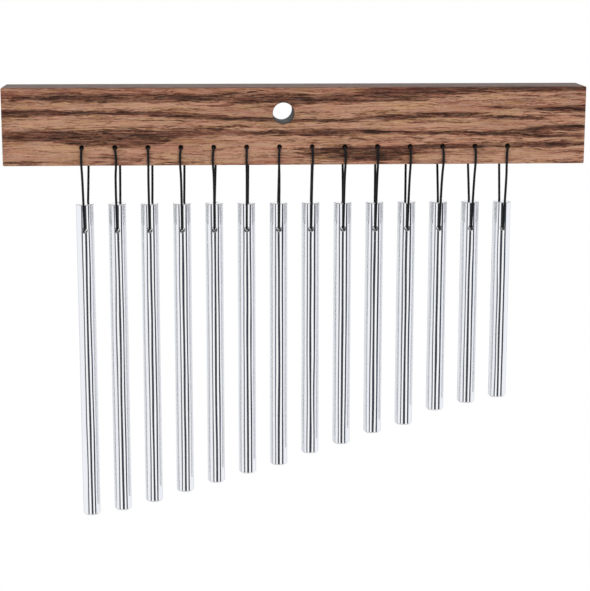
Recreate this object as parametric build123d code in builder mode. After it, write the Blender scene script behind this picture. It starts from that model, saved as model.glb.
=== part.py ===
from build123d import *

import os
from math import atan2, cos, degrees, hypot, pi, sin, tan

os.makedirs("parts", exist_ok=True)

# Bar chimes in millimetres, +Z up, the player in front at -Y
# The origin is the middle of the stand hole, on the mantle's mid plane

# Mantle, the hardwood beam that carries the row
mantle_length = 304.8
mantle_thickness = 25.4
mantle_height = 40.5
mantle_edge_round = 0.8

# Stand hole, right through the mantle at the row's balance point
stand_hole_diameter = 11.1
stand_hole_drop = 13.5  # its middle, below the mantle's top face
stand_hole_offset = 6.5  # its middle, left of the mantle's middle
stand_hole_chamfer = 0.4

# Bars, round solid rod, longest at the left
bar_diameter = 9.525
bar_gap = 7.625  # clear space between neighbours
longest_bar = 172
bar_length_steps = [2.5, 4.5, 5.5, 5, 5, 4.5, 6.5, 5, 6, 4.5, 8, 4, 3]  # each bar, shorter than the one before
bar_drop = 21.65  # from the mantle's underside to the bar's top
bar_top_chamfer = 0.4
bar_foot_chamfer = 0.8
bar_hole_drop = 13.8  # cross hole's middle, below the bar's top
bar_hole_sink = 0.35  # flare at each mouth of the cross hole
bar_hole_overrun = 1  # how far the cross hole's cut runs past the bar's side

# Cord, one length a bar, tied into a loop
cord_diameter = 1.3
cord_hole_rise = 9.5  # the mantle's cord holes, above its underside
cord_hole_room = 1.1  # cord hole's diameter over the cord's
cord_hole_chamfer = 0.4
bar_hole_room = 1.3  # bar hole's diameter over the cord's
cord_seat_gap = 0.15  # between the cord and the hole wall that it lies on
cord_face_gap = 0.3  # between the cord and the faces that it passes
knot_diameter = 4.4
knot_socket_gap = 0.1  # round each end of the cord inside the knot
knot_tail_length = 4.2
knot_tail_lean = 38  # degrees from upright, away from the mantle
knot_tail_spread = 32  # degrees to each side

# Levels and positions that follow from the sizes
bar_count = len(bar_length_steps) + 1
bar_lengths = [longest_bar - sum(bar_length_steps[:i]) for i in range(bar_count)]
bar_pitch = bar_diameter + bar_gap
bar_radius = bar_diameter / 2
cord_radius = cord_diameter / 2
knot_radius = knot_diameter / 2
mantle_half = mantle_thickness / 2
mantle_top = stand_hole_drop
mantle_under = mantle_top - mantle_height
mantle_middle = (mantle_top + mantle_under) / 2
cord_hole_diameter = cord_diameter + cord_hole_room
cord_hole_level = mantle_under + cord_hole_rise
bar_top = mantle_under - bar_drop
bar_hole_diameter = cord_diameter + bar_hole_room
bar_hole_level = bar_top - bar_hole_drop

# The cord lies on the floor of the mantle's hole, and the bar hangs by the roof of its own hole
cord_high_run = cord_hole_level - cord_hole_diameter / 2 + cord_seat_gap + cord_radius
cord_low_run = bar_hole_level + bar_hole_diameter / 2 - cord_seat_gap - cord_radius
cord_face_y = mantle_half + cord_face_gap + cord_radius
cord_bar_y = bar_radius + cord_face_gap + cord_radius
knot_y = mantle_half + cord_face_gap + knot_radius
knot_sink = 0.42 * knot_radius  # how near the knot's middle each end of the cord comes


def bar_x(index):
    return stand_hole_offset + (index - (bar_count - 1) / 2) * bar_pitch


# The front strand goes round the mantle's lower edge on an arc that shares the edge's middle
lip_radius = cord_diameter
edge_radius = mantle_edge_round + cord_face_gap + cord_radius
edge_middle_z = mantle_under + mantle_edge_round
front_slope = atan2(cord_face_y - cord_bar_y, edge_middle_z - cord_low_run)
edge_bend_z = edge_middle_z - edge_radius * tan(front_slope / 2)

# The back strand goes straight from the bar to the knot
back_run = hypot(knot_y - cord_bar_y, cord_high_run - cord_low_run)
back_y = (knot_y - cord_bar_y) / back_run
back_z = (cord_high_run - cord_low_run) / back_run

cord_route = [
    (knot_y - knot_sink, cord_high_run),
    (-cord_face_y, cord_high_run),
    (-cord_face_y, edge_bend_z),
    (-cord_bar_y, cord_low_run),
    (cord_bar_y, cord_low_run),
    (knot_y - knot_sink * back_y, cord_high_run - knot_sink * back_z),
]
cord_radii = [lip_radius, edge_radius, lip_radius, lip_radius]

# Mantle
with BuildPart() as mantle:
    with BuildSketch(Plane.XZ.offset(mantle_half)):
        with Locations((stand_hole_offset, mantle_middle)):
            Rectangle(mantle_length, mantle_height)
    extrude(amount=-mantle_thickness)
    fillet(mantle.edges(), radius=mantle_edge_round)
    with BuildSketch(Plane.XZ.offset(mantle_half)):
        Circle(stand_hole_diameter / 2)
    extrude(amount=-mantle_thickness, mode=Mode.SUBTRACT)
    chamfer(mantle.edges(Select.LAST).filter_by(GeomType.CIRCLE), length=stand_hole_chamfer)
    with BuildSketch(Plane.XZ.offset(mantle_half)):
        with Locations(*[(bar_x(i), cord_hole_level) for i in range(bar_count)]):
            Circle(cord_hole_diameter / 2)
    extrude(amount=-mantle_thickness, mode=Mode.SUBTRACT)
    chamfer(mantle.edges(Select.LAST).filter_by(GeomType.CIRCLE), length=cord_hole_chamfer)
mantle.part.label = "mantle"
export_step(mantle.part, "parts/mantle.step")


# A chime bar, with its cross hole flared at both mouths
def make_bar(index):
    x = bar_x(index)
    reach = bar_radius + bar_hole_overrun
    straight = bar_radius - bar_hole_sink
    bore = bar_hole_diameter / 2
    flare = bore + reach - straight
    with BuildPart() as bar:
        with BuildSketch(Plane(origin=(x, 0, bar_top))):
            Circle(bar_radius)
        extrude(amount=-bar_lengths[index])
        chamfer(bar.faces().sort_by(Axis.Z)[-1].edges(), length=bar_top_chamfer)
        chamfer(bar.faces().sort_by(Axis.Z)[0].edges(), length=bar_foot_chamfer)
        with BuildSketch(Plane(origin=(x, 0, bar_hole_level), x_dir=(0, 1, 0), z_dir=(1, 0, 0))):
            with BuildLine():
                Polyline(
                    (-reach, 0),
                    (-reach, flare),
                    (-straight, bore),
                    (straight, bore),
                    (reach, flare),
                    (reach, 0),
                    close=True,
                )
            make_face()
        revolve(axis=Axis((x, 0, bar_hole_level), (0, 1, 0)), mode=Mode.SUBTRACT)
    bar.part.label = f"bar_{index + 1:02d}"
    export_step(bar.part, f"parts/bar_{index + 1:02d}.step")


# A cord, from the knot through the mantle, down the front, through the bar and up the back
def make_loop(index):
    x = bar_x(index)
    with BuildPart() as loop:
        with BuildLine() as route:
            FilletPolyline(*[(x, y, z) for y, z in cord_route], radius=cord_radii)
        with BuildSketch(Plane(origin=route.line @ 0, z_dir=route.line % 0)):
            Circle(cord_radius)
        sweep()
    loop.part.label = f"cord_loop_{index + 1:02d}"
    export_step(loop.part, f"parts/cord_loop_{index + 1:02d}.step")
    return route.wire().length, loop.part.volume


# A knot, three turns of cord drawn tight, with two cut tails and a socket for each end of the cord
def make_knot(index):
    x = bar_x(index)
    turn_radius = knot_radius / 3
    turn_rise = 1.55 * turn_radius
    socket = cord_radius + knot_socket_gap
    depth = knot_sink - knot_socket_gap
    with BuildPart() as knot:
        with BuildSketch(Plane(origin=(x, knot_y, cord_high_run), x_dir=(1, 0, 0), z_dir=(0, -1, 0))):
            with Locations((knot_radius / 3, 0)):
                Rectangle(2 * knot_radius / 3, 2 * turn_rise + turn_radius)
            with Locations((knot_radius - turn_radius, 0)):
                Circle(turn_radius)
            with Locations(
                (0.88 * knot_radius - turn_radius, turn_rise), (0.88 * knot_radius - turn_radius, -turn_rise)
            ):
                Circle(turn_radius)
        revolve(axis=Axis((x, knot_y, cord_high_run), (0, 0, 1)))
        with BuildSketch(Plane(origin=(x, knot_y - depth, cord_high_run), z_dir=(0, -1, 0))):
            Circle(socket)
        extrude(amount=knot_radius, mode=Mode.SUBTRACT)
        foot = (x, knot_y - depth * back_y, cord_high_run - depth * back_z)
        with BuildSketch(Plane(origin=foot, z_dir=(0, -back_y, -back_z))):
            Circle(socket)
        extrude(amount=knot_radius, mode=Mode.SUBTRACT)
        tail_root = (x, knot_y + turn_radius / 2, cord_high_run + turn_radius / 2)
        for side in (-1, 1):
            lean = knot_tail_lean * pi / 180
            spread = side * knot_tail_spread * pi / 180
            tail = (sin(spread), cos(spread) * sin(lean), cos(spread) * cos(lean))
            with BuildSketch(Plane(origin=tail_root, z_dir=tail)):
                Circle(0.94 * cord_radius)
            extrude(amount=knot_tail_length)
    knot.part.label = f"cord_knot_{index + 1:02d}"
    export_step(knot.part, f"parts/cord_knot_{index + 1:02d}.step")


for index in range(bar_count):
    make_bar(index)
    make_knot(index)
    cord_length, cord_volume = make_loop(index)

print("cord bend radii", [round(r, 2) for r in cord_radii], "for a cord", cord_diameter)
print("front strand leans", round(degrees(front_slope), 2), "degrees")
print("cord length", round(cord_length, 2), "volume", round(cord_volume, 3))
print("section times length", round(pi * cord_radius**2 * cord_length, 3))
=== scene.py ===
import math
import random

import bpy
from mathutils import Matrix, Vector


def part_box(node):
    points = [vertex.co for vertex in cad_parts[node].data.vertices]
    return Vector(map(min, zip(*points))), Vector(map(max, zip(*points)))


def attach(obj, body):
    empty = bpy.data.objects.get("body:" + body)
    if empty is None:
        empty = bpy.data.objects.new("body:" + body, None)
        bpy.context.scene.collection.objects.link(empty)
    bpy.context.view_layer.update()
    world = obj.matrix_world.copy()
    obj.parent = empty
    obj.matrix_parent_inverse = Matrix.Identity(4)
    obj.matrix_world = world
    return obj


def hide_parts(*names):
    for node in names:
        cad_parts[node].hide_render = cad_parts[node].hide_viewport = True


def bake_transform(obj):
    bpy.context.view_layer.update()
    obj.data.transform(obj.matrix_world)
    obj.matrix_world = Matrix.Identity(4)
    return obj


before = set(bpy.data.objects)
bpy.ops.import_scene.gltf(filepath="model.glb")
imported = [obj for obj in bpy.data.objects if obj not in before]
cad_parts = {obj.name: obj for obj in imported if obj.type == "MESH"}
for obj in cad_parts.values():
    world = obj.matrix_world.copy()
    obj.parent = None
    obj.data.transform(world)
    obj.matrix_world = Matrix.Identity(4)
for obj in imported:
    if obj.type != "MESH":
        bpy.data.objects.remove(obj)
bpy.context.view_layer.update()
scene = bpy.context.scene
scene.view_settings.view_transform = "Standard"
barNames = sorted(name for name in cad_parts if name.startswith("bar_"))
print("frame loaded,", len(barNames), "bars in the row")


class Shade:  # one socket of a shader, so that its maths is written as plain sums
    def __init__(self, tree, socket=None):
        self.tree = tree
        self.socket = socket

    def add(self, kind, settings=None, sockets=None, out=0):
        node = self.tree.nodes.new(kind)
        for name, value in (settings or {}).items():
            if name == "stops":  # a ramp's places and colours
                ramp = node.color_ramp.elements
                while len(ramp) < len(value):
                    ramp.new(0.5)
                for stop, (place, colour) in zip(ramp, value):
                    stop.position = place
                    stop.color = colour
            else:
                setattr(node, name, value)
        for name, value in (sockets or {}).items():
            if isinstance(value, Shade):
                self.tree.links.new(value.socket, node.inputs[name])
            else:
                node.inputs[name].default_value = value
        if isinstance(out, tuple):
            return [Shade(self.tree, node.outputs[name]) for name in out]
        return Shade(self.tree, node.outputs[out] if node.outputs else None)

    def sum(self, operation, first, second):
        return self.add("ShaderNodeMath", {"operation": operation}, {0: first, 1: second})

    def __add__(self, other):
        return self.sum("ADD", self, other)

    def __radd__(self, other):
        return self.sum("ADD", other, self)

    def __sub__(self, other):
        return self.sum("SUBTRACT", self, other)

    def __rsub__(self, other):
        return self.sum("SUBTRACT", other, self)

    def __mul__(self, other):
        return self.sum("MULTIPLY", self, other)

    def __rmul__(self, other):
        return self.sum("MULTIPLY", other, self)

    def most(self, other):
        return self.sum("MAXIMUM", self, other)

    def step(self, low, high):  # 0 below low, 1 above high, smooth between
        return self.add(
            "ShaderNodeMapRange",
            {"interpolation_type": "SMOOTHSTEP"},
            {"Value": self, "From Min": low, "From Max": high},
        )

    def tint(self, first, second):  # this value mixes two colours
        return self.add("ShaderNodeMix", {"data_type": "RGBA"}, {0: self, 6: first, 7: second}, out=2)

    def stain(self, colour, ink):  # this value lays a clear ink over a colour
        settings = {"data_type": "RGBA", "blend_type": "MULTIPLY"}
        return self.add("ShaderNodeMix", settings, {0: self, 6: colour, 7: ink}, out=2)

    def noise(self, place, stretch, detail=2.0, roughness=0.5):
        spread = self.add("ShaderNodeVectorMath", {"operation": "MULTIPLY"}, {0: place, 1: stretch})
        return self.add(
            "ShaderNodeTexNoise",
            {},
            {"Vector": spread, "Scale": 1.0, "Detail": detail, "Roughness": roughness},
        )


def newFinish(name):
    material = bpy.data.materials.new(name)
    material.use_nodes = True
    material.node_tree.nodes.clear()
    return material, Shade(material.node_tree)


def closeFinish(shade, sockets):
    surface = shade.add("ShaderNodeBsdfPrincipled", {}, sockets)
    shade.add("ShaderNodeOutputMaterial", {}, {"Surface": surface})


# Camera, where the photograph was taken from
cameraPlan = {
    "place": (-0.03987, -0.88394, 0.08328),
    "turn": 3.021,  # degrees towards the short bars
    "tilt": 11.665,  # degrees down
    "roll": 0.075,
    "lens": 101.98,
    "sensor": 36.0,
}


def setCamera(plan):
    data = bpy.data.cameras.new("camera")
    data.lens = plan["lens"]
    data.sensor_width = plan["sensor"]
    data.clip_start = 0.01
    camera = bpy.data.objects.new("camera", data)
    scene.collection.objects.link(camera)
    camera.matrix_world = (
        Matrix.Translation(plan["place"])
        @ Matrix.Rotation(math.radians(-plan["turn"]), 4, "Z")
        @ Matrix.Rotation(math.radians(90 - plan["tilt"]), 4, "X")
        @ Matrix.Rotation(math.radians(plan["roll"]), 4, "Z")
    )
    scene.camera = camera


setCamera(cameraPlan)
print("camera set")


# Cords, one braided length a bar: from its knot through the mantle, down the front,
# through the bar and up the back
cordPlan = {
    "diameter": 0.0013,
    "length": 0.127,
    "route": [  # (y, z) in metres, and the sway that moves the point aside
        (0.01428, -0.01790, None),  # inside the knot
        (-0.01005, -0.01790, None),
        (-0.01365, -0.01790, None),  # over the front lip of the mantle's hole
        (-0.01365, -0.02150, "front"),
        (-0.01365, -0.02639, "front"),  # round the mantle's lower edge
        (-0.01195, -0.03400, None),
        (-0.00649, -0.05844, None),
        (-0.00571, -0.06195, None),  # into the bar's hole
        (-0.00211, -0.06195, None),
        (0.00211, -0.06195, None),
        (0.00571, -0.06195, None),  # out at the back of the bar
        (0.00648, -0.05843, "back"),
        (0.01550, -0.01880, "knot"),  # back inside the knot
    ],
    "exit": (0.0127, -0.0179),
    "bendFrom": -0.0284,  # just under the mantle
    "bendTo": -0.04865,  # the bar's top
    "order": 3,  # of the spline
    "smooth": 40,  # its points between two of the route's
    "step": 0.00024,  # between the rings of the tube
    "sides": 16,
    "carriers": 4,  # each way round the braid
    "lay": 0.0034,  # along the cord for one turn of a carrier
    "relief": 0.13,  # depth of the braid, as a share of the radius
    "sways": ("front", "back", "knot"),
    "strands": [  # each cord's sways in millimetres, as no two cords hang quite alike
        (-0.3, 1.2, 1.8),
        (0.6, 1.5, 1.2),
        (0.2, 1.4, 1.4),
        (-0.5, 1.2, 1.5),
        (-0.6, 0.0, 1.4),
        (-0.1, 1.0, 1.5),
        (-0.3, -0.2, 1.3),
        (0.2, 0.4, 1.8),
        (0.3, 0.9, 0.9),
        (0.2, 0.9, 1.6),
        (0.3, 0.1, 1.1),
        (0.5, 1.2, 0.7),
        (0.3, 1.0, 0.2),
        (-0.4, 0.0, 0.4),
    ],
    "black": (0.0040, 0.0040, 0.0045, 1),
    "worn": (0.0105, 0.0105, 0.0115, 1),
    "yarn": (2.2, 30.0, 0.0),  # cycles a millimetre along and a turn round
    "wear": (0.35, 4.0, 0.0),
    "yarnHeight": 0.00008,
    "roughness": 0.50,
    "shine": 0.24,
    "fuzz": 0.03,
    "fuzzRoughness": 0.45,
}


def cordFinish(plan):
    material, shade = newFinish("braidedCord")
    place = shade.add("ShaderNodeTexCoord", out="UV")  # millimetres along, turns round
    yarn = shade.noise(place, plan["yarn"])
    wear = shade.noise(place, plan["wear"]).step(0.45, 0.75)
    bump = shade.add(
        "ShaderNodeBump", {}, {"Height": yarn, "Strength": 0.5, "Distance": plan["yarnHeight"]}
    )
    closeFinish(
        shade,
        {
            "Base Color": (wear * 0.6 + yarn * 0.4).tint(plan["black"], plan["worn"]),
            "Roughness": plan["roughness"] + yarn * 0.25,
            "Normal": bump,
            "Specular IOR Level": plan["shine"],
            "Sheen Weight": plan["fuzz"],
            "Sheen Roughness": plan["fuzzRoughness"],
        },
    )
    return material


def cordLine(name, route, plan):
    curve = bpy.data.curves.new(name, "CURVE")
    curve.dimensions = "3D"
    spline = curve.splines.new("NURBS")
    spline.points.add(len(route) - 1)
    for point, place in zip(spline.points, route):
        point.co = (*place, 1.0)
    spline.order_u = plan["order"]
    spline.use_endpoint_u = True
    curve.resolution_u = plan["smooth"]
    holder = bpy.data.objects.new(name, curve)
    mesh = bpy.data.meshes.new_from_object(holder)
    points = [vertex.co.copy() for vertex in mesh.vertices]
    bpy.data.objects.remove(holder)
    bpy.data.meshes.remove(mesh)
    bpy.data.curves.remove(curve)
    return points


def evenRings(points, step):  # rings at an even distance along the spline's own points
    rings = [points[0]]
    left = step
    for start, end in zip(points, points[1:]):
        run = (end - start).length
        reach = left
        while reach <= run:
            rings.append(start.lerp(end, reach / run))
            reach += step
        left = reach - run
    rings.append(points[-1])
    return rings


def braidSwell(turn, along, plan):  # 1 on a carrier's crown, less in the gaps between carriers
    lead = 2 * math.pi * plan["carriers"] * along / plan["lay"]
    right = abs(math.cos((plan["carriers"] * turn + lead) / 2))
    left = abs(math.cos((plan["carriers"] * turn - lead) / 2))
    return 1 - plan["relief"] * (1 - max(right, left))


def addTube(shape, line, radius, plan, closed=False):
    points = [point for point, side in line]
    sides = plan["sides"]
    base = len(shape["points"])
    along = 0.0
    marks = []
    for i, (point, side) in enumerate(line):
        if closed:
            tangent = points[(i + 1) % len(points)] - points[i - 1]
        else:
            tangent = points[min(i + 1, len(points) - 1)] - points[max(i - 1, 0)]
        tangent.normalize()
        side = (side - tangent * side.dot(tangent)).normalized()
        other = tangent.cross(side)
        if i:
            along += (point - points[i - 1]).length
        marks.append(along * 1000)
        for k in range(sides):
            turn = 2 * math.pi * k / sides
            out = side * math.cos(turn) + other * math.sin(turn)
            shape["points"].append(point + out * radius * braidSwell(turn, along, plan))
    rings = len(line)
    for i in range(rings if closed else rings - 1):
        j = (i + 1) % rings
        far = marks[j] if j else marks[i] + (points[0] - points[i]).length * 1000
        for k in range(sides):
            m = (k + 1) % sides
            shape["faces"].append(
                (base + i * sides + k, base + i * sides + m, base + j * sides + m, base + j * sides + k)
            )
            shape["marks"].append(
                (
                    (marks[i], k / sides),
                    (marks[i], (k + 1) / sides),
                    (far, (k + 1) / sides),
                    (far, k / sides),
                )
            )
    if not closed:
        for i, order in ((0, -1), (rings - 1, 1)):
            loop = [base + i * sides + k for k in range(sides)][::order]
            shape["faces"].append(tuple(loop))
            shape["marks"].append(tuple((marks[i], k / sides) for k in range(sides)))


def makePiece(name, shape, finish):
    mesh = bpy.data.meshes.new(name)
    mesh.from_pydata(shape["points"], [], shape["faces"])
    layer = mesh.uv_layers.new(name="along")
    flat = [mark for face in shape["marks"] for mark in face]
    for loop, mark in zip(layer.data, flat):
        loop.uv = mark
    mesh.materials.append(finish)
    mesh.shade_smooth()
    mesh.update()
    piece = bpy.data.objects.new(name, mesh)
    scene.collection.objects.link(piece)
    return piece


# Knots, a tight overhand behind the mantle with two cut tails
knotPlan = {
    "place": (0.0152, -0.0179),  # (y, z) of its middle
    "turn": 0.00100,  # radius of the ring that the strands wind on
    "spread": 0.00060,  # how far the strands stand off that ring, outwards
    "stack": 0.00092,  # and along the knot's axis
    "strand": 0.00058,  # radius of the drawn-in cord
    "winds": 2,  # turns round that ring
    "lobes": 3,
    "rings": 96,  # of the tube
    "lean": 24.0,  # degrees, the axis against the upright
    "tail": [  # (x, y, z) from the middle, mirrored for the second tail
        (0.0002, 0.0004, 0.0003),
        (0.0007, 0.0011, 0.0011),
        (0.0013, 0.0018, 0.0021),
        (0.0022, 0.0025, 0.0031),
    ],
    "tailRadius": 0.00060,
    "tailCut": (0.82, 1.0),  # shares of the length that the tails are cut to
    "seed": 14,
}


def knotLine(middle, spin, plan):  # a trefoil, which is an overhand knot with its ends joined
    tilt = Matrix.Rotation(math.radians(plan["lean"]), 3, "X") @ Matrix.Rotation(spin, 3, "Z")
    line = []
    for i in range(plan["rings"]):
        wind = 2 * math.pi * plan["winds"] * i / plan["rings"]
        lobe = 2 * math.pi * plan["lobes"] * i / plan["rings"]
        radius = plan["turn"] + plan["spread"] * math.cos(lobe)
        outward = Vector((math.cos(wind), math.sin(wind), 0))
        point = outward * radius + Vector((0, 0, plan["stack"] * math.sin(lobe)))
        side = outward * math.cos(lobe) + Vector((0, 0, math.sin(lobe)))
        line.append((middle + tilt @ point, tilt @ side))
    return line


def tailRoute(middle, way, stretch, plan):
    return [middle + Vector((way * x, y * stretch, z * stretch)) for x, y, z in plan["tail"]]


braidedCord = cordFinish(cordPlan)
draw = random.Random(knotPlan["seed"])
for name, strands in zip(barNames, cordPlan["strands"]):
    number = name[-2:]
    low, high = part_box(name)
    x = (low.x + high.x) / 2
    sway = {part: aside / 1000 for part, aside in zip(cordPlan["sways"], strands)}
    middle = Vector((x + sway["knot"] / 2, *knotPlan["place"]))  # between the cord's two ends
    spin = draw.uniform(0, 2 * math.pi)
    knotShape = {"points": [], "faces": [], "marks": []}
    addTube(knotShape, knotLine(middle, spin, knotPlan), knotPlan["strand"], cordPlan, closed=True)
    for way in (-1, 1):
        cut = draw.uniform(*knotPlan["tailCut"])
        tail = cordLine("tailRoute", tailRoute(middle, way, cut, knotPlan), cordPlan)
        tail = [(point, Vector((0, 1, 0))) for point in evenRings(tail, cordPlan["step"])]
        addTube(knotShape, tail, knotPlan["tailRadius"], cordPlan)
    knot = makePiece("knot_" + number, knotShape, braidedCord)
    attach(knot, "tie_" + number)
    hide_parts("cord_knot_" + number)

    route = [(x + sway.get(part, 0), y, z) for y, z, part in cordPlan["route"]]
    points = evenRings(cordLine("cordRoute", route, cordPlan), cordPlan["step"])
    cordShape = {"points": [], "faces": [], "marks": []}
    across = Vector((1, 0, 0))
    addTube(cordShape, [(point, across) for point in points], cordPlan["diameter"] / 2, cordPlan)
    cord = makePiece("cord_" + number, cordShape, braidedCord)
    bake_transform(cord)
    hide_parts("cord_loop_" + number)
print("cords and knots made")


# Mantle, one board of figured brown hardwood under a thin satin finish
mantlePlan = {
    "tones": [  # from the dark figure to the palest fibres
        (0.00, (0.026, 0.009, 0.005, 1)),
        (0.18, (0.070, 0.026, 0.014, 1)),
        (0.40, (0.155, 0.067, 0.038, 1)),
        (0.62, (0.292, 0.139, 0.085, 1)),
        (0.82, (0.450, 0.230, 0.143, 1)),
        (1.00, (0.600, 0.347, 0.229, 1)),
    ],
    "blush": (0.300, 0.098, 0.066, 1),
    "gold": (0.520, 0.300, 0.130, 1),
    "ash": (0.430, 0.270, 0.200, 1),
    "rose": (1.00, 0.89, 0.88, 1),  # clear stains
    "amber": (0.99, 0.99, 0.87, 1),
    "slate": (0.070, 0.045, 0.036, 1),  # inside the dark figure
    "topShade": (0.125, 0.108, 0.101, 1),  # painted shade: the top face greyed and darkened
    "bore": (0.030, 0.031, 0.034, 1),  # painted shade on the stand hole's wall
    "tone": 1.07,  # plain wood's place on the row of tones
    "weights": {  # how far each part of the grain moves that tone
        "cloud": 0.56,
        "lines": 0.70,
        "grit": 1.00,
        "hair": 0.16,
        "lights": 0.12,
        "darks": -0.42,
        "hearts": -0.22,
        "veins": -0.26,
        "pores": -0.34,
        "fine": -0.32,
        "threads": -0.10,
        "darkThreads": -0.16,
        "years": -0.20,
        "brow": -0.15,
    },
    "tints": {  # how strongly each colour is laid over the tones
        "slate": 0.30,
        "warm": 0.32,
        "brow": 0.42,
        "ember": 0.36,
        "fleck": 0.42,
        "ashes": 0.40,
        "topShade": 0.55,
        "bore": 0.85,
    },
    "grain": {  # cycles a millimetre along, up and through the board, detail, roughness, step
        "wander": ((0.016, 0.05, 0.02), 2.0, 0.5, None),  # slow bends of the layers
        "ripple": ((0.07, 0.24, 0.05), 2.0, 0.5, None),
        "feather": ((0.050, 1.05, 0.3), 4.0, 0.62, None),  # frays the streaks
        "thread": ((0.040, 2.1, 0.6), 2.0, 0.5, None),
        "pores": ((0.085, 1.05, 0.9), 3.0, 0.62, (0.52, 0.565)),
        "fine": ((0.16, 1.6, 1.4), 2.0, 0.5, (0.515, 0.57)),
        "hair": ((0.60, 8.0, 6.0), 2.0, 0.5, None),
        "grit": ((0.50, 2.3, 1.9), 2.0, 0.6, None),
        "lines": ((0.030, 1.3, 0.6), 3.0, 0.62, None),
        "cloud": ((0.018, 0.30, 0.06), 3.0, 0.55, None),
        "years": ((0.014, 0.10, 0.03), 2.0, 0.5, None),
        "warm": ((0.020, 0.20, 0.05), 2.0, 0.5, (0.50, 0.68)),  # where the wood turns red, in patches
        "brow": ((0.03, 0.6, 0.3), 2.0, 0.5, (0.38, 0.55)),  # and along the top
        "ember": ((0.06, 1.3, 0.8), 2.0, 0.5, (0.52, 0.62)),  # and in thin lines
        "fleck": ((0.07, 0.95, 0.7), 2.0, 0.5, (0.55, 0.66)),
        "ashes": ((0.09, 1.1, 0.7), 2.0, 0.5, (0.53, 0.64)),
        "patch": ((0.045, 0.42, 0.2), 3.0, 0.5, None),  # of clear stain
    },
    "edges": {  # where each part of the figure begins, and where it is full
        "clears": (0.03, 0.10),
        "darks": (0.28, 0.37),
        "hearts": (0.45, 0.85),  # inside the darks
        "veins": (0.22, 0.27),  # thin lines just outside the darks
        "veinEnds": (0.30, 0.38),
        "lights": (0.18, 0.45),
        "threads": (0.06, 0.16),
        "years": (0.35, 1.0),  # a year's wood darkens towards its end
        "slate": (-0.05, 0.10),
        "rose": (-0.02, 0.14),
        "amber": (-0.14, 0.0),
        "blush": (7.5, 12.0),  # these four are levels and radii in millimetres
        "brow": (10.1, 12.5),
        "topShade": (13.0, 13.45),
        "bore": (5.60, 5.85),
    },
    "front": -12.7,  # millimetres, the face that the figure is laid out on
    "slant": 0.35,  # how the layers climb towards the back
    "wander": 1.6,  # millimetres, how far the layers bend
    "ripple": 1.8,
    "yearWidth": 0.24,  # years a millimetre
    "yearBend": 3.2,
    "reach": 1.4,  # how far a lens fades out past its half length and height
    "roughness": 0.50,
    "shine": 0.16,
    "poreDepth": 0.00022,  # metres
    "streaks": [  # x, z, half length, half height in millimetres, tilt in degrees, depth
        (-105, 8.7, 50, 2.0, 0.0, 1.05),
        (-50, 8.3, 56, 2.3, 0.5, 1.00),
        (0, 7.2, 34, 2.6, 0.0, 0.95),
        (32, 7.6, 26, 2.8, 0.0, 0.70),
        (-132, 0.5, 34, 1.9, 0.0, 1.10),
        (-90, 0.4, 44, 1.2, 0.0, 1.05),
        (-48, -1.4, 30, 1.7, -3.0, 1.05),
        (-17, -2.7, 22, 1.3, -1.0, 1.00),
        (-118, -11.3, 44, 2.8, 0.0, 1.05),
        (-85, -11.8, 46, 3.6, 0.0, 1.15),
        (-59, -10.8, 30, 2.8, 4.0, 1.10),
        (-20, -9.7, 46, 1.3, 0.0, 0.90),
        (-90, -14.6, 34, 2.6, 0.0, 1.05),
        (-132, -13.8, 30, 0.9, 0.0, 0.70),
        (-83, -17.2, 11, 0.8, 0.0, 0.85),
        (-130, -25.4, 36, 1.1, 0.0, 1.10),
        (-128, -18.5, 22, 0.7, 0.0, 0.55),
        (-95, -22.5, 18, 0.6, 0.0, 0.55),
        (59, 9.6, 20, 3.2, 0.0, 1.25),
        (78, 10.9, 36, 2.8, 3.0, 1.00),
        (93, 12.0, 24, 1.8, 2.0, 0.95),
        (130, 12.6, 36, 2.2, 0.0, 0.95),
        (16, -4.0, 24, 1.0, 0.0, 1.00),
        (50, -2.4, 20, 0.8, 2.0, 0.95),
        (68, -1.6, 20, 1.3, 3.0, 1.05),
        (92, -0.6, 16, 1.4, 0.0, 1.00),
        (118, -2.6, 26, 1.0, -2.0, 0.90),
        (120, 3.0, 18, 0.9, 0.0, 0.80),
        (148, 2.0, 20, 1.7, 0.0, 1.10),
        (22, -9.9, 36, 1.9, 0.0, 0.85),
        (72, -10.4, 40, 1.0, 0.0, 1.05),
        (112, -10.8, 26, 1.3, 0.0, 1.05),
        (142, -8.6, 26, 1.6, 3.0, 1.10),
        (140, -12.4, 24, 1.1, 0.0, 0.95),
        (36, -20.0, 28, 3.2, 0.0, 1.15),
        (52, -22.6, 30, 3.2, 0.0, 1.10),
        (89, -17.6, 34, 1.2, 0.0, 1.10),
        (139, -17.0, 26, 1.5, 2.0, 1.10),
    ],
    "lights": [  # pale lenses, laid out in the same way
        (82, -23.0, 26, 2.6, 0.0, 0.9),
        (130, -22.6, 30, 2.6, 0.0, 0.8),
        (-36, -18.0, 70, 5.0, 0.0, 0.6),
        (-125, -21.0, 34, 3.4, 0.0, 0.9),
        (-80, 4.3, 90, 2.0, 0.0, 0.6),
        (-95, -5.0, 60, 3.2, 0.0, 0.6),
        (60, 3.6, 70, 2.6, 0.0, 0.7),
        (70, -6.4, 80, 2.0, 0.0, 0.6),
    ],
    "clears": [  # pale wood with a clean edge against the dark figure
        (-38, -19.5, 28.5, 9.3, 0.0, 1.0),
        (-135, -22.0, 42, 8.4, 0.0, 1.0),
        (92, -23.6, 33, 3.6, 0.0, 1.0),
    ],
}


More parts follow.
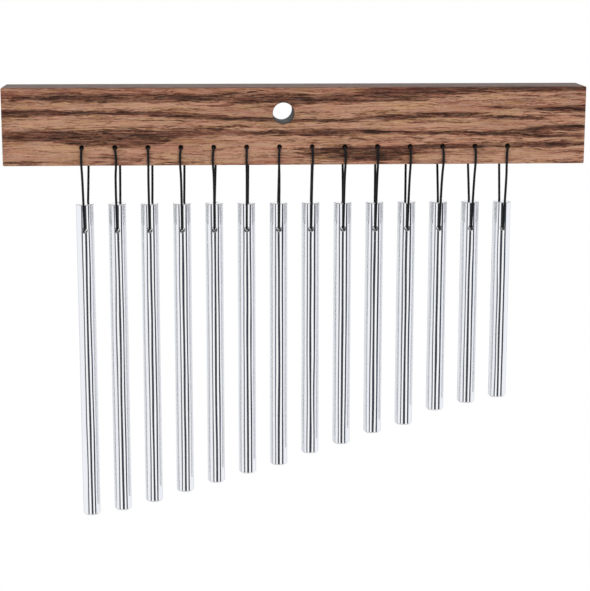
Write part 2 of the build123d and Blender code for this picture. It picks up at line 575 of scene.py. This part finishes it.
def lensFigure(shade, place, lenses, reach):  # the deepest lens at each spot
    figure = None
    for x, z, long, high, tilt, depth in lenses:
        spot = shade.add(
            "ShaderNodeMapping",
            {"vector_type": "TEXTURE"},
            {
                "Vector": place,
                "Location": (x, z, 0),
                "Rotation": (0, 0, math.radians(tilt)),
                "Scale": (long * reach, high * reach, 1),
            },
        )
        lens = shade.add("ShaderNodeTexGradient", {"gradient_type": "SPHERICAL"}, {"Vector": spot}, out=1)
        lens = lens * depth
        figure = lens if figure is None else figure.most(lens)
    return figure


def mantleFinish(plan):
    material, shade = newFinish("figuredWood")
    edges = plan["edges"]
    tints = plan["tints"]

    def grain(layer, place):  # around 0, or from 0 to 1 where the layer has a step
        stretch, detail, roughness, step = plan["grain"][layer]
        noise = shade.noise(place, stretch, detail, roughness)
        return noise.step(*step) if step else noise - 0.5

    spot = shade.add("ShaderNodeTexCoord", out="Object")
    x, y, z = shade.add("ShaderNodeSeparateXYZ", {}, {0: spot}, out=("X", "Y", "Z"))
    x = x * 1000
    y = y * 1000
    z = z * 1000
    layer = z + (y - plan["front"]) * plan["slant"]
    board = shade.add("ShaderNodeCombineXYZ", {}, {0: x, 1: layer, 2: y})
    bent = layer + grain("wander", board) * plan["wander"] + grain("ripple", board) * plan["ripple"]
    laid = shade.add("ShaderNodeCombineXYZ", {}, {0: x, 1: bent, 2: y})
    flat = shade.add("ShaderNodeCombineXYZ", {}, {0: x, 1: bent, 2: 0.0})
    feather = grain("feather", laid)
    thread = grain("thread", laid)
    pores = grain("pores", laid)
    fine = grain("fine", laid)
    hair = grain("hair", laid)
    years = bent * plan["yearWidth"] + (grain("years", laid) + 0.5) * plan["yearBend"]
    years = shade.add("ShaderNodeMath", {"operation": "FRACT"}, {0: years})

    clears = lensFigure(shade, flat, plan["clears"], 1.0).step(*edges["clears"])
    figure = lensFigure(shade, flat, plan["streaks"], plan["reach"]) + feather * 0.70 + thread * 0.75
    figure = figure - clears * 0.30
    darks = figure.step(*edges["darks"])
    lights = lensFigure(shade, flat, plan["lights"], plan["reach"]) + feather * 0.5
    lights = lights.step(*edges["lights"]).most(clears * 0.5)
    calm = 1 - lights * 0.40
    hearts = figure.step(*edges["hearts"])
    threads = thread.step(*edges["threads"])
    parts = {
        "cloud": grain("cloud", laid),
        "lines": grain("lines", laid),
        "grit": grain("grit", laid),
        "hair": hair,
        "lights": lights,
        "darks": darks,
        "hearts": hearts,
        "veins": figure.step(*edges["veins"]) * (1 - figure.step(*edges["veinEnds"])),
        "pores": pores * calm,
        "fine": fine * calm,
        "threads": threads,
        "darkThreads": threads * darks,
        "years": years.step(*edges["years"]),
        # darker towards the board's top edge
        "brow": z.step(*edges["brow"]),
    }
    tone = plan["tone"]
    for name, part in parts.items():
        tone = tone + part * plan["weights"][name]

    wood = shade.add("ShaderNodeValToRGB", {"stops": plan["tones"]}, {0: tone})
    wood = (hearts * feather.step(*edges["slate"]) * tints["slate"]).tint(wood, plan["slate"])
    warm = grain("warm", laid) * (1 - darks * 0.6) * tints["warm"]
    brow = grain("brow", laid) * bent.step(*edges["blush"]) * (1 - darks * 0.75) * tints["brow"]
    wood = (warm + brow).tint(wood, plan["blush"])
    wood = (grain("ember", laid) * tints["ember"]).tint(wood, plan["blush"])
    wood = (grain("fleck", laid) * (1 - darks) * tints["fleck"]).tint(wood, plan["gold"])
    wood = (grain("ashes", laid) * (1 - darks * 0.6) * tints["ashes"]).tint(wood, plan["ash"])
    patch = grain("patch", laid)
    wood = patch.step(*edges["rose"]).stain(wood, plan["rose"])
    wood = (1 - patch.step(*edges["amber"])).stain(wood, plan["amber"])
    # painted shade: the top face is tinted a darker grey
    wood = (z.step(*edges["topShade"]) * tints["topShade"]).tint(wood, plan["topShade"])
    # painted shade darkens the stand hole's wall, inside its radius
    across = shade.add("ShaderNodeCombineXYZ", {}, {0: x, 1: z, 2: 0.0})
    radius = shade.add("ShaderNodeVectorMath", {"operation": "LENGTH"}, {0: across}, out="Value")
    bore = 1 - radius.step(*edges["bore"])
    wood = (bore * tints["bore"]).tint(wood, plan["bore"])
    bump = shade.add(
        "ShaderNodeBump",
        {},
        {"Height": (hair - pores - fine) * 0.5, "Strength": 0.25, "Distance": plan["poreDepth"]},
    )
    closeFinish(
        shade,
        {
            "Base Color": wood,
            "Roughness": plan["roughness"] + pores * 0.10 + hair * 0.08,
            "Normal": bump,
            "Specular IOR Level": plan["shine"],
        },
    )
    return material


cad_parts["mantle"].material_slots[0].material = mantleFinish(mantlePlan)
print("mantle finished")


# Bars, polished light alloy rod
barPlan = {
    "metal": (0.95, 0.953, 0.962, 1),
    "dull": (0.89, 0.895, 0.91, 1),
    "faced": (0.93, 0.935, 0.94, 1),  # the ends
    "drilledAndShaded": (0.46, 0.465, 0.475, 1),  # painted shade in the cord hole and on its mouths
    "roughness": 0.055,
    "endRoughness": 0.10,
    "rimRoughness": 0.50,
    "mouthRoughness": 0.30,
    "rimMetal": 0.4,  # the eased rims scatter light
    "endLevel": (0.85, 0.95),  # how level a face is, on an end
    "rimLevel": (0.45, 0.60),  # and on an eased rim
    "drawn": (2600.0, 2600.0, 45.0),  # cycles a metre: lines left by drawing the rod
    "specks": (900.0, 900.0, 700.0),
    "haze": (60.0, 60.0, 18.0),
    "waves": (110.0, 110.0, 16.0),  # the bar isn't quite straight to the eye
    "waveHeight": 0.0006,  # metres
    "grainHeight": 0.000002,
    "mouthLevel": -62.45,  # millimetres
    "mouthRadius": 1.68,
}


def barFinish(plan, rowMiddle, pitch):
    material, shade = newFinish("polishedRod")
    spot, facing = shade.add("ShaderNodeTexCoord", out=("Object", "Normal"))
    x, z = shade.add("ShaderNodeSeparateXYZ", {}, {0: spot}, out=("X", "Z"))
    step = (x * 1000 - rowMiddle) * (1 / pitch)  # places in the row
    aside = (shade.add("ShaderNodeMath", {"operation": "FRACT"}, {0: step}) - 0.5) * pitch
    away = shade.add("ShaderNodeCombineXYZ", {}, {0: aside, 1: z * 1000 - plan["mouthLevel"], 2: 0.0})
    away = shade.add("ShaderNodeVectorMath", {"operation": "LENGTH"}, {0: away}, out="Value")
    upright = shade.add("ShaderNodeSeparateXYZ", {}, {0: facing}, out="Z")
    level = upright.most(0 - upright)
    ends = level.step(*plan["endLevel"])
    rims = level.step(*plan["rimLevel"]) - ends
    mouths = 1 - away.step(plan["mouthRadius"] - 0.10, plan["mouthRadius"])
    drawn = shade.noise(spot, plan["drawn"])
    specks = shade.noise(spot, plan["specks"], 3.0, 0.6)
    haze = shade.noise(spot, plan["haze"]).step(0.35, 0.75)
    waves = shade.noise(spot, plan["waves"], 1.0)
    pits = specks.step(0.66, 0.72)
    height = waves * plan["waveHeight"] + (drawn * 0.45 + specks * 0.55) * plan["grainHeight"]
    bump = shade.add("ShaderNodeBump", {}, {"Height": height, "Strength": 1.0, "Distance": 1.0})
    metal = (haze * 0.4 + specks.step(0.55, 0.75) * 0.25).tint(plan["metal"], plan["dull"])
    smooth = plan["roughness"] + haze * 0.05 + (drawn - 0.5) * 0.04 + pits * 0.20
    turned = plan["endRoughness"] - plan["roughness"]
    eased = plan["rimRoughness"] - plan["roughness"]
    drilledAndShaded = plan["mouthRoughness"] - plan["roughness"]
    closeFinish(
        shade,
        {
            # painted shade darkens the cord hole and its mouths; they are also rougher
            "Base Color": mouths.tint((ends + rims).tint(metal, plan["faced"]), plan["drilledAndShaded"]),
            "Metallic": 1 - rims * (1 - plan["rimMetal"]),
            "Roughness": smooth + ends * turned + rims * eased + mouths * drilledAndShaded,
            "Normal": bump,
        },
    )
    return material


barMiddles = [500 * (low.x + high.x) for low, high in map(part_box, barNames)]  # millimetres
barPitch = (barMiddles[-1] - barMiddles[0]) / (len(barMiddles) - 1)
polishedRod = barFinish(barPlan, sum(barMiddles) / len(barMiddles), barPitch)
for name in barNames:
    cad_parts[name].material_slots[0].material = polishedRod
print("bars finished")


# Studio, a white room with two broad lamps, and cards that only the bars' mirror shows
studioPlan = {
    "roomLight": 0.64,  # what the room adds on its own
    "ceilingShade": 0.65,  # how much darker the room is overhead
    "ceilingFade": (0.1, 0.8),  # the heights that the shade comes in between
    "floorLevel": -0.60,
    "floorRadius": 0.80,
    "floorSides": 96,
    "floorPaint": (0.9, 0.9, 0.9, 1),
    "floorShade": 0.30,  # how much of the floor's own light and shadow shows
    "floorFade": (0.35, 0.98),  # shares of the radius that it fades out between
    "lamps": [  # place, side length in metres, watts
        ((-1.05, -1.30, 0.30), 1.4, 7.6),
        ((1.05, -1.30, 0.30), 1.4, 7.6),
    ],
    "cards": [  # turn from the front in degrees, distance, width, foot and head in metres, light
        (3.0, 0.98, 0.48, -1.2, 0.4, (0.048, 0.054, 0.072, 1)),
        (-41.0, 1.10, 0.32, -1.2, 0.4, (0.14, 0.155, 0.185, 1)),
        (51.0, 1.10, 0.40, -1.2, 0.4, (0.045, 0.055, 0.080, 1)),
        (-110.0, 1.25, 4.60, -1.4, 1.4, (0.90, 0.915, 0.95, 1)),
        (112.0, 1.25, 4.60, -1.4, 1.4, (0.90, 0.915, 0.96, 1)),
        (183.0, 1.00, 0.32, -1.2, 0.0, (0.05, 0.056, 0.070, 1)),
        (136.0, 1.10, 0.24, -1.2, 0.4, (0.64, 0.66, 0.69, 1)),
        (231.0, 1.10, 0.24, -1.2, 0.4, (0.64, 0.66, 0.69, 1)),
    ],
    "narrow": 1.0,  # a narrower card also runs in along the floor
    "cardStart": 0.12,  # as far as this from the middle
    "cardLift": 0.002,
}


def mirrorRays(shade):  # 1 for what the camera, metal or glass sees
    camera, glossy, through = shade.add(
        "ShaderNodeLightPath", out=("Is Camera Ray", "Is Glossy Ray", "Is Transmission Ray")
    )
    return camera.most(glossy).most(through)


def setRoom(plan):
    world = bpy.data.worlds.new("room")
    world.use_nodes = True
    world.node_tree.nodes.clear()
    scene.world = world
    shade = Shade(world.node_tree)
    seen = mirrorRays(shade)
    way = shade.add("ShaderNodeTexCoord", out="Generated")
    height = shade.add("ShaderNodeSeparateXYZ", {}, {0: way}, out="Z")
    plain = plan["roomLight"] * (1 - height.step(*plan["ceilingFade"]) * plan["ceilingShade"])
    light = plain + seen * (1 - plain)
    room = shade.add("ShaderNodeBackground", {}, {"Color": (1, 1, 1, 1), "Strength": light})
    shade.add("ShaderNodeOutputWorld", {}, {"Surface": room})


def addSheet(name, corners, finish):
    mesh = bpy.data.meshes.new(name)
    mesh.from_pydata(corners, [], [tuple(range(len(corners)))])
    mesh.materials.append(finish)
    sheet = bpy.data.objects.new(name, mesh)
    scene.collection.objects.link(sheet)
    return sheet


def addFloor(plan):
    material, shade = newFinish("paleFloor")
    white = shade.add("ShaderNodeEmission", {}, {"Color": (1, 1, 1, 1)})
    plain = shade.add("ShaderNodeBsdfDiffuse", {}, {"Color": plan["floorPaint"]})
    spot = shade.add("ShaderNodeTexCoord", out="Object")
    across = shade.add("ShaderNodeVectorMath", {"operation": "MULTIPLY"}, {0: spot, 1: (1, 1, 0)})
    radius = shade.add("ShaderNodeVectorMath", {"operation": "LENGTH"}, {0: across}, out="Value")
    rimFade = radius.step(*[share * plan["floorRadius"] for share in plan["floorFade"]])
    share = mirrorRays(shade) * (1 - plan["floorShade"] * (1 - rimFade))
    surface = shade.add("ShaderNodeMixShader", {}, {0: share, 1: plain, 2: white})
    shade.add("ShaderNodeOutputMaterial", {}, {"Surface": surface})
    rim = []
    for i in range(plan["floorSides"]):
        turn = 2 * math.pi * i / plan["floorSides"]
        x = plan["floorRadius"] * math.cos(turn)
        y = plan["floorRadius"] * math.sin(turn)
        rim.append((x, y, plan["floorLevel"]))
    addSheet("floor", rim, material)


def onlyMirrored(sheet):
    sheet.visible_camera = False
    sheet.visible_diffuse = False
    sheet.visible_shadow = False
    sheet.visible_transmission = False


def addCards(plan):
    for i, (turn, distance, width, foot, head, light) in enumerate(plan["cards"]):
        material, shade = newFinish("card" + str(i))
        grey = shade.add("ShaderNodeEmission", {}, {"Color": light})
        shade.add("ShaderNodeOutputMaterial", {}, {"Surface": grey})
        angle = math.radians(turn)
        middle = Vector((math.sin(angle), -math.cos(angle), 0)) * distance
        along = Vector((math.cos(angle), math.sin(angle), 0)) * width / 2
        corners = []
        for way, level in ((-1, foot), (1, foot), (1, head), (-1, head)):
            corners.append(middle + along * way + Vector((0, 0, level)))
        onlyMirrored(addSheet("card" + str(i), corners, material))
        if width < plan["narrow"]:
            near = plan["cardStart"] / distance
            lift = Vector((0, 0, plan["floorLevel"] + plan["cardLift"]))
            corners = []
            for way, share in ((-1, near), (1, near), (1, 1), (-1, 1)):
                corners.append((middle + along * way) * share + lift)
            onlyMirrored(addSheet("cardFoot" + str(i), corners, material))


def addLamps(plan):
    for i, (place, side, watts) in enumerate(plan["lamps"]):
        data = bpy.data.lights.new("lamp" + str(i), "AREA")
        data.size = side
        data.energy = watts
        lamp = bpy.data.objects.new("lamp" + str(i), data)
        lamp.location = place
        lamp.rotation_euler = (-Vector(place)).to_track_quat("-Z", "Y").to_euler()
        lamp.visible_camera = False
        lamp.visible_glossy = False
        scene.collection.objects.link(lamp)


setRoom(studioPlan)
addFloor(studioPlan)
addCards(studioPlan)
addLamps(studioPlan)
print("studio set")
